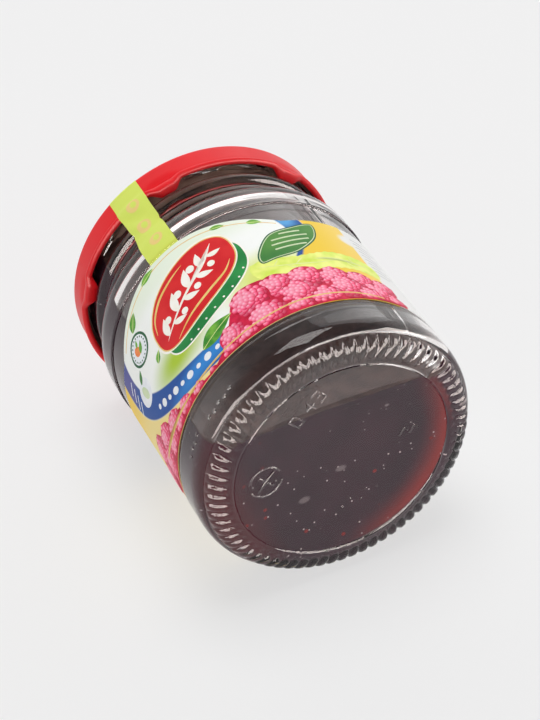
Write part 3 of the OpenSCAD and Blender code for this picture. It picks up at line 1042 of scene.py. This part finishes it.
def leafShape(base, tip, width, bend=0.0):
    # leaf outline from its base to its tip
    base, tip = np.array(base, dtype=float), np.array(tip, dtype=float)
    along = tip - base
    side = np.array([-along[1], along[0]]) / np.linalg.norm(along)
    t = np.linspace(0, 1, 41)
    half = width / 2 * np.sin(math.pi * t ** 0.8)
    middle = base + np.outer(t, along) + np.outer(np.sin(math.pi * t) * bend, side)
    upper = middle + np.outer(np.maximum(half, 0), side)
    lower = middle - np.outer(np.maximum(half, 0), side)
    return [tuple(q) for q in np.vstack([lower, upper[-2:0:-1]])]


def inkMaterial(name, first, second, scale):
    stops = [(0.35, srgb(*first)), (0.65, srgb(*second))]
    return mottled(name, scale * 1000, 2.0, stops, roughness=0.38, specular=0.15)


# each ink: the name of its material, its two tones and how coarsely they mix
inks = {
    "red": ("badgeRed", (214, 30, 38), (224, 44, 46), 0.12),
    "gold": ("lineGold", (230, 190, 100), (240, 210, 132), 0.35),
    "cream": ("cream", (250, 246, 232), (255, 252, 244), 0.35),
    "ribbon": ("ribbonGreen", (30, 120, 60), (52, 156, 78), 0.08),
    "leaf": ("leafGreen", (60, 140, 50), (130, 190, 70), 0.25),
    "lime": ("limeLeaf", (212, 234, 84), (244, 250, 140), 0.2),
    "vein": ("leafVein", (226, 236, 150), (236, 242, 170), 0.35),
    "deep": ("deepGreen", (36, 92, 60), (44, 104, 66), 0.35),
    "badge": ("leafBadge", (64, 128, 60), (86, 146, 66), 0.1),
    "pale": ("paleInk", (206, 222, 180), (216, 230, 190), 0.35),
    "shade": ("berryShade", (190, 22, 56), (226, 40, 78), 0.4),
    "grey": ("rowGrey", (176, 178, 180), (188, 190, 192), 0.35),
    "orange": ("softOrange", (240, 120, 60), (246, 150, 80), 0.35),
    "white": ("whiteInk", (236, 240, 244), (246, 248, 250), 0.35),
}
inkOrder = list(inks)

# berries on the front in three rows, the far one first: place and radius on the sheet
berryRows = (
    ((21.0, 31.6, 5.2), (30.0, 31.2, 5.4), (38.4, 29.8, 5.0), (46.4, 28.2, 4.6), (53.6, 26.0, 4.4)),
    ((12.2, 31.0, 6.0), (2.6, 23.2, 4.4), (25.8, 25.4, 5.8), (40.0, 24.2, 5.6), (50.6, 22.4, 5.2),
     (-29.6, 22.8, 4.4), (-37.4, 26.0, 5.0), (-45.6, 30.2, 5.2), (-21.6, 20.4, 3.6)),
    ((14.4, 22.2, 5.8), (32.4, 21.0, 4.8), (6.8, 19.4, 3.4), (23.6, 20.2, 3.8), (46.4, 20.0, 4.4),
     (-34.6, 20.0, 4.4), (-43.4, 22.4, 5.2), (-27.0, 19.3, 3.0), (-52.4, 25.6, 5.0), (-14.4, 18.9, 2.4),
     (0.0, 18.9, 2.8), (-7.4, 18.4, 1.8), (55.2, 19.2, 3.6)),
)
berries = [(u, v, r, row) for row, line in enumerate(berryRows) for u, v, r in line]


def arcLine(drop, fromU, toU, count):
    # a line that runs below the label's arched upper edge
    us = np.linspace(fromU, toU, count)
    return [(u, float(topEdge(math.degrees(u / labelR))) - drop) for u in us]


shapes = []


def put(ink, layer, outline):
    shapes.append((outline, layer, inkOrder.index(ink)))


def onRound(cu, cv, ru, rv, degrees):
    # one point of an ellipse on the sheet
    return cu + ru * math.cos(math.radians(degrees)), cv + rv * math.sin(math.radians(degrees))


def putBadge():
    # red slanted badge with a gold edge, and a green crescent with dots under it
    edge = []
    for a in fullTurn(72):
        across, upward = (math.copysign(abs(side) ** 0.8, side) for side in (math.cos(a), math.sin(a)))
        edge.append((17.4 * across - 0.2, 50.4 + 10.9 * upward + 5 * across))
    put("cream", 2, grow(edge, 1.1))
    crescent = [(u + 2.0, v - 4.2) for u, v in edge]
    put("cream", 2, grow(crescent, 0.5))
    put("ribbon", 3, crescent)
    put("cream", 4, grow(edge, 0.75))
    put("gold", 5, grow(edge, 0.4))
    put("red", 6, edge)
    dots = openCurve((-9.0, 34.2), (-2.6, 35.4), (5.0, 37.6), (12.2, 40.6), (17.0, 45.2), steps=4)
    for u, v in dots[1:-1:2]:
        put("cream", 5, oval(u, v, 0.36, 0.36, count=10))
    # a sprig in place of the name: stem, leaves and round fruit, all cream
    stem = openCurve((-14.2, 42.0), (-7.5, 46.0), (0.2, 50.4), (7.6, 54.6), (12.4, 60.4))
    put("cream", 7, stroke(stem, 0.9, taper=True))
    for i, size in enumerate((6.8, 5.4, 7.6, 5.8, 7.4, 5.8, 6.0, 4.8)):
        side = -1 if i % 2 else 1
        at = np.array(stem[2 + 3 * i])
        ahead = np.array(stem[3 + 3 * i]) - at
        lean = math.atan2(ahead[1], ahead[0]) + side * 0.85
        tip = at + size * np.array([math.cos(lean), math.sin(lean)])
        put("cream", 7, leafShape(at, tip, size * 0.4, bend=0.4 * side))
    for u, v, r in ((-10.6, 47.4, 1.3), (-3.8, 51.6, 1.4), (3.4, 56.0, 1.4),
                    (-4.6, 44.6, 1.2), (2.6, 48.6, 1.2), (9.4, 52.8, 1.2)):
        put("cream", 7, oval(u, v, r, r, count=18))
    for way in (((-16.2, 47.4), (-14.4, 52.0), (-9.8, 55.8), (-3.6, 58.2), (2.0, 59.8)),
                ((-11, 38.6), (-4.0, 41.4), (4.0, 43.8), (11.0, 46.6), (14.6, 50.4))):
        put("gold", 7, stroke(openCurve(*way), 0.9, taper=True))


def putSigns():
    # small round emblem
    atU, atV, beadR = -25.1, 53.2, 3.9
    put("deep", 3, oval(atU, atV, 5.4, 5.4))
    put("white", 4, oval(atU, atV, 4.6, 4.6))
    for i in range(20):
        put("deep", 5, oval(*onRound(atU, atV, beadR, beadR, 18 * i), 0.3, 0.3, count=8))
    put("orange", 5, oval(-26.0, 53.4, 1.5, 1.8, 20, 18))
    put("leaf", 6, leafShape((-25.2, 51.4), (-22.6, 54.6), 1.7))
    put("leaf", 6, leafShape((-25.4, 54.2), (-24.2, 56.6), 1.1))
    # loose leaves on the white field
    for base, tip, width in (((-23.6, 59.2), (-18.9, 63.4), 3.4), ((-11.6, 66.4), (-5.4, 67.6), 2.4),
                             ((14.6, 65.6), (19.2, 64.6), 1.8), ((25.0, 62.2), (29.4, 60.8), 2.2),
                             ((-21.6, 41.2), (-18.7, 44.2), 2.2), ((-6.8, 27.6), (5.8, 31.2), 5.6)):
        put("leaf", 2, leafShape(base, tip, width, bend=0.2))
        put("vein", 3, stroke([base, tip], 0.22))
    # fruit sign beside the blue band, and dots and bars on the band
    put("white", 3, oval(-33.4, 43.4, 4.4, 4.6))
    put("badge", 4, leafShape((-33.0, 46.4), (-29.8, 49.4), 1.9))
    put("pale", 4, oval(-33.4, 43.2, 1.5, 2.8, 15, 18))
    for i in range(9):
        size = 1.25 if i % 2 else 0.8
        put("white", 3, oval(*onRound(-1.2, 52.5, 40.8, 28.1, 223 + 5.6 * i), size, size * 1.15, 15 * i, 14))
    for i in range(4):
        put("white", 3, stroke([(-43.0 + 0.5 * i, 44.4 + 2.7 * i), (-38.8 + 0.4 * i, 46.0 + 2.7 * i)], 0.45))


def putLeaves():
    # toothed lime leaves above the berries
    broad = smoothLoop([(18.5, 43.5), (18, 37), (24, 32), (36, 34), (48, 34), (56, 32), (56, 39), (44, 42.5),
                        (32, 41.5)], 9)
    put("lime", 2, [(u, v + 0.4 * (i % 2)) for i, (u, v) in enumerate(broad)])
    for way in (((19.5, 41.5), (27, 38.8), (36, 37.4), (44, 38.6)),
                ((55.5, 36.0), (49, 38.2), (42, 39.6), (36, 39.4)),
                ((27, 38.8), (30, 36.2), (33, 34.6)), ((24, 39.9), (26, 42)), ((30, 38.2), (33, 40.6)),
                ((46, 38.9), (47.5, 36.6), (50, 35.4)), ((49, 38.2), (48.6, 40.6))):
        put("vein", 3, stroke(openCurve(*way), 0.4, taper=True))
    # leaf-shaped badge with plain rows
    tag = smoothLoop([(21.5, 42.5), (22, 47), (28, 54), (36, 56.2), (44, 57.5), (42, 50), (34, 43.8),
                      (26, 42.6)], 8)
    put("deep", 4, tag)
    put("pale", 5, grow(tag, -0.45))
    put("badge", 6, grow(tag, -0.75))
    for u, v, length in ((31.4, 53.4, 7.0), (28.0, 51.0, 12.0), (27.2, 48.8, 12.4), (27.4, 46.6, 10.4)):
        put("pale", 7, stroke([(u, v), (u + length, v + length * 0.09)], 0.6))
    # rows on the back panel
    for i in range(10):
        row = 54.6 - 2.1 * i
        put("grey", 1, stroke([(57.4, row), (63.0 + 1.5 * (i % 3), row)], 0.4))


def putBerryBed():
    # a deep red bed under all berries, one disc under each, and the gold line over their feet
    low, left, right = label["low"], -54, 57
    bed = openCurve((left, 30), (-48, 34), (-38, 30), (-28, 25), (-16, 20.5), (-6, 19.5), (2, 26), (8, 35),
                    (14, 37), (26, 35), (40, 33), (right, 27))
    put("shade", 2, bed + [(right, low + 0.05), (left, low + 0.05)])
    for u, v, r, row in berries:
        outline = oval(u, v, r * 1.02, r * 0.98, 0, 36)
        put("shade", 4 + 4 * row, [(a, max(b, low + 0.1)) for a, b in outline])
    foot = openCurve((-44, 25.2), (-34, 22.6), (-22, 21.4), (-8, 21.2), (12, 21.9), (24, 22.3), (38, 21.6),
                     (50, 19.8))
    put("gold", 17, stroke(foot, 0.5))


def makePrint():
    for start in range(-31, 33, 4):
        put("gold", 1, stroke(arcLine(1.9, start, start + 4.1, 8), 0.3))
    putBadge()
    putSigns()
    putLeaves()
    putBerryBed()
    points, faces, slots = [], [], []
    for outline, layer, slot in shapes:
        shape = bmesh.new()
        corners = []
        for corner in outline:
            if not corners or math.dist(corners[-1], corner) > 1e-3:
                corners.append(tuple(corner))
        face = shape.faces.new([shape.verts.new((u, v, 0)) for u, v in corners])
        bmesh.ops.triangulate(shape, faces=[face])
        low, high = min(c[0] for c in corners), max(c[0] for c in corners)
        for cut in np.arange(math.ceil(low / printed["cut"]) * printed["cut"], high, printed["cut"]):
            everything = shape.verts[:] + shape.edges[:] + shape.faces[:]
            bmesh.ops.bisect_plane(shape, geom=everything, plane_co=(cut, 0, 0), plane_no=(1, 0, 0))
        shape.verts.index_update()
        flat = np.array([v.co[:2] for v in shape.verts])
        turn = math.radians(place["frontTurn"]) - flat[:, 0] / labelR
        offset, count = len(points), len(flat)
        for radius in (labelR + printed["rise"] * layer, labelR - printed["sunk"]):
            points += list(toWorld(radius, flat[:, 1], turn))
        for f in shape.faces:
            ring = [v.index + offset for v in f.verts]
            if f.normal.z < 0:
                ring = ring[::-1]
            faces.append(tuple(ring))
            faces.append(tuple(i + count for i in ring[::-1]))
            slots += [slot, slot]
        for e in shape.edges:
            if len(e.link_faces) == 1:
                a, b = (v.index + offset for v in e.verts)
                faces.append((a, b, b + count, a + count))
                slots.append(slot)
        shape.free()
    piece = newObject("labelPrint", points, faces, [inkMaterial(*tones) for tones in inks.values()], False)
    piece.data.polygons.foreach_set("material_index", slots)
    outwardNormals(piece)
    return piece


def berryMaterial():
    material, tree, shader = newMaterial("berryPrint")
    shade, depth = (addNode(tree, "ShaderNodeAttribute", {"attribute_name": name}).outputs["Fac"]
                    for name in ("shade", "depth"))
    tones = ((0.0, 255, 222, 232), (0.3, 255, 142, 174), (0.6, 250, 98, 138), (0.85, 236, 56, 98),
             (1.0, 208, 30, 72))
    colour = ramp(tree, shade, [(at, srgb(*tone)) for at, *tone in tones])
    lit = blendColour(tree, calc(tree, "SUBTRACT", 0.42, depth, clamp=True), colour, srgb(255, 206, 220))
    far = calc(tree, "MULTIPLY", calc(tree, "SUBTRACT", depth, 0.5, clamp=True), 1.5, clamp=True)
    setShader(shader, colour=blendColour(tree, far, lit, srgb(178, 14, 50)), roughness=0.45, specular=0.15)
    return material


def berryPlan():
    # places, sizes and depths of the drupelets on the flat sheet, spread over each berry like sunflower seeds
    rng = np.random.default_rng(5)
    goldenAngle, usualCount, usualRadius = 2.39996, 38, 5.2
    points, sizes, depths = [], [], []
    for u, v, r, row in berries:
        count = int(usualCount * (r / usualRadius) ** 1.4)
        for k in range(count):
            away = r * math.sqrt((k + 0.6) / count) * 0.9
            a = k * goldenAngle + rng.uniform(-0.12, 0.12)
            pu, pv = u + away * math.cos(a), v + away * math.sin(a) * 0.96
            size = 1.28 * r / math.sqrt(count) * rng.uniform(0.85, 1.05)
            if pv - size < label["low"] + 0.05:
                continue
            points.append((pu, pv, 0.055 + 0.048 * row + 0.045 * (1 - k / count)))
            sizes.append(size)
            fromLight = math.hypot(pu - u + 0.25 * r, pv - v - 0.35 * r) / (1.3 * r)
            depths.append(fromLight * rng.uniform(0.7, 1.15))
    return points, sizes, depths


def drupeletTree(material):
    # round grains laid on the flat sheet, then wrapped round the jar
    values = {"discSides": 12, "sheetRadius": 43.0, "frontTurn": 0.5, "axisHeight": 43.0, "baseY": -52.0}
    tree, start, end = newTree("drupelets", values)
    given = start.outputs
    disc = addNode(tree, "GeometryNodeMeshCircle", {"fill_type": "TRIANGLE_FAN"},
                   {"Vertices": given["discSides"], "Radius": 1.0})
    fine = addNode(tree, "GeometryNodeSubdivideMesh", inputs={"Mesh": disc.outputs[0], "Level": 1})
    spot = tree.nodes.new("GeometryNodeInputPosition").outputs[0]
    inputs = {0: spot, 1: (-0.3, 0.38, 0.0)}
    fromLight = addNode(tree, "ShaderNodeVectorMath", {"operation": "DISTANCE"}, inputs)
    shade = product(tree, fromLight.outputs["Value"], 0.74)
    kept = addNode(tree, "GeometryNodeStoreNamedAttribute", {"data_type": "FLOAT", "domain": "POINT"},
                   {"Geometry": fine.outputs[0], "Name": "shade", "Value": shade})
    inputs = {"Points": given[0], "Instance": kept.outputs[0], "Scale": namedValue(tree, "discSize")}
    spread = addNode(tree, "GeometryNodeInstanceOnPoints", inputs=inputs)
    real = addNode(tree, "GeometryNodeRealizeInstances", inputs={"Geometry": spread.outputs[0]})
    spot = tree.nodes.new("GeometryNodeInputPosition").outputs[0]
    across, along, lift = addNode(tree, "ShaderNodeSeparateXYZ", inputs={0: spot}).outputs
    away = calc(tree, "ADD", lift, given["sheetRadius"])
    turn = calc(tree, "SUBTRACT", given["frontTurn"], calc(tree, "DIVIDE", across, given["sheetRadius"]))
    x = product(tree, calc(tree, "SINE", turn), away, -mm)
    y = product(tree, calc(tree, "ADD", along, given["baseY"]), mm)
    z = product(tree, calc(tree, "MULTIPLY_ADD", calc(tree, "COSINE", turn), away, given["axisHeight"]), mm)
    joined = addNode(tree, "ShaderNodeCombineXYZ", inputs={0: x, 1: y, 2: z})
    inputs = {"Geometry": real.outputs[0], "Position": joined.outputs[0]}
    wrapped = addNode(tree, "GeometryNodeSetPosition", inputs=inputs)
    closeTree(tree, end, wrapped.outputs[0], material)
    return tree


def makeBerries():
    points, sizes, depths = berryPlan()
    material = berryMaterial()
    mesh = bpy.data.meshes.new("berryPrint")
    mesh.from_pydata(points, [], [])
    piece = bpy.data.objects.new("berryPrint", mesh)
    bpy.context.scene.collection.objects.link(piece)
    addAttribute(piece, "discSize", sizes)
    addAttribute(piece, "depth", depths)
    runTree(piece, drupeletTree(material), {
        "discSides": printed["discSides"], "sheetRadius": labelR,
        "frontTurn": math.radians(place["frontTurn"]), "axisHeight": place["axisZ"], "baseY": place["baseY"]})
    return piece


labelPrint = makePrint()
finishPiece(labelPrint, "printed_paper")
berryPrint = makeBerries()
finishPiece(berryPrint, "printed_paper")
print("print:", len(labelPrint.data.polygons), "and", len(berryPrint.data.polygons), "faces")

# floor, light and camera
stage = {
    "world": 0.85,
    "floorColour": srgb(146, 146, 146),
    "floorGlow": 0.60,
    "backPanel": 5.0,
    "backAt": (0.45, 1.25, 0.72),
    "overhead": 6.0,
    "ring": 30.0,
    "ringAt": (1.5, 0.52),
    "ringTurns": (-58, -16, 26, 68),
    "sky": [(0.0, (1.0, 1.0, 1.0, 1)), (0.3, (0.95, 0.95, 0.95, 1)), (0.62, (0.3, 0.3, 0.31, 1)),
            (1.0, (0.14, 0.14, 0.15, 1))],
    "overheadAt": (0.05, 0.06, 1.05),
    "azimuth": -20.93,
    "elevation": 40.70,
    "roll": -5.29,
    "distance": 0.718,
    "aim": (0.0003, -0.0011, 0.0421),
    "focal": 120.0,
    "sensor": 36.0,
}


def makeFloor():
    size, below = 3.0, -0.0001
    corners = [(-size, -size, below), (size, -size, below), (size, size, below), (-size, size, below)]
    # the pale ground gives some light of its own, as a lit table does
    material = mottled("paleFloor", 8.0, 2.0, [(0.0, stage["floorColour"]), (1.0, srgb(148, 148, 148))],
                       roughness=0.9, specular=0.1, glowColour=(1, 1, 1, 1), glow=stage["floorGlow"])
    newObject("floor", corners, [(0, 1, 2, 3)], [material], False)


def addPanel(name, size, energy, at):
    # a square light that looks at the jar
    light = bpy.data.lights.new(name, "AREA")
    light.shape = "RECTANGLE"
    light.size, light.size_y = size
    light.energy = energy
    panel = bpy.data.objects.new(name, light)
    panel.location = at
    panel.rotation_euler = (-Vector(at)).to_track_quat("-Z", "Y").to_euler()
    bpy.context.scene.collection.objects.link(panel)
    return panel


def makeLights():
    world = bpy.data.worlds.new("softWhite")
    bpy.context.scene.world = world
    world.use_nodes = True
    tree = world.node_tree
    background = tree.nodes["Background"]
    # bright round the horizon, darker towards the ceiling
    way = addNode(tree, "ShaderNodeTexCoord").outputs["Generated"]
    up = addNode(tree, "ShaderNodeSeparateXYZ", inputs={0: way}).outputs[2]
    tree.links.new(ramp(tree, up, stage["sky"]), background.inputs[0])
    background.inputs[1].default_value = stage["world"]
    overhead = addPanel("overhead", (0.6, 0.6), stage["overhead"], stage["overheadAt"])
    overhead.visible_glossy = False
    addPanel("backPanel", (2.0, 0.9), stage["backPanel"], stage["backAt"])


def makeRing():
    # low panels in front of the jar that show in its glass
    distance, height = stage["ringAt"]
    for i, around in enumerate(stage["ringTurns"]):
        a = math.radians(around)
        at = (distance * math.sin(a), -distance * math.cos(a), height)
        panel = addPanel(f"ringPanel{i}", (1.0, 0.9), stage["ring"], at)
        panel.data.color = (1.0, 0.9, 0.85)
        panel.visible_diffuse = False
        panel.visible_transmission = False


def makeCamera():
    data = bpy.data.cameras.new("camera")
    data.lens = stage["focal"]
    data.sensor_width = stage["sensor"]
    camera = bpy.data.objects.new("camera", data)
    a, e = math.radians(stage["azimuth"]), math.radians(stage["elevation"])
    back = Vector((math.sin(a) * math.cos(e), -math.cos(a) * math.cos(e), math.sin(e)))
    camera.location = Vector(stage["aim"]) + back * stage["distance"]
    level = (-back).to_track_quat("-Z", "Y")
    lean = Quaternion(back, math.radians(stage["roll"]))
    camera.rotation_euler = (lean @ level).to_euler()
    bpy.context.scene.collection.objects.link(camera)
    bpy.context.scene.camera = camera


makeFloor()
makeLights()
makeRing()
makeCamera()
print("floor, light and camera set")
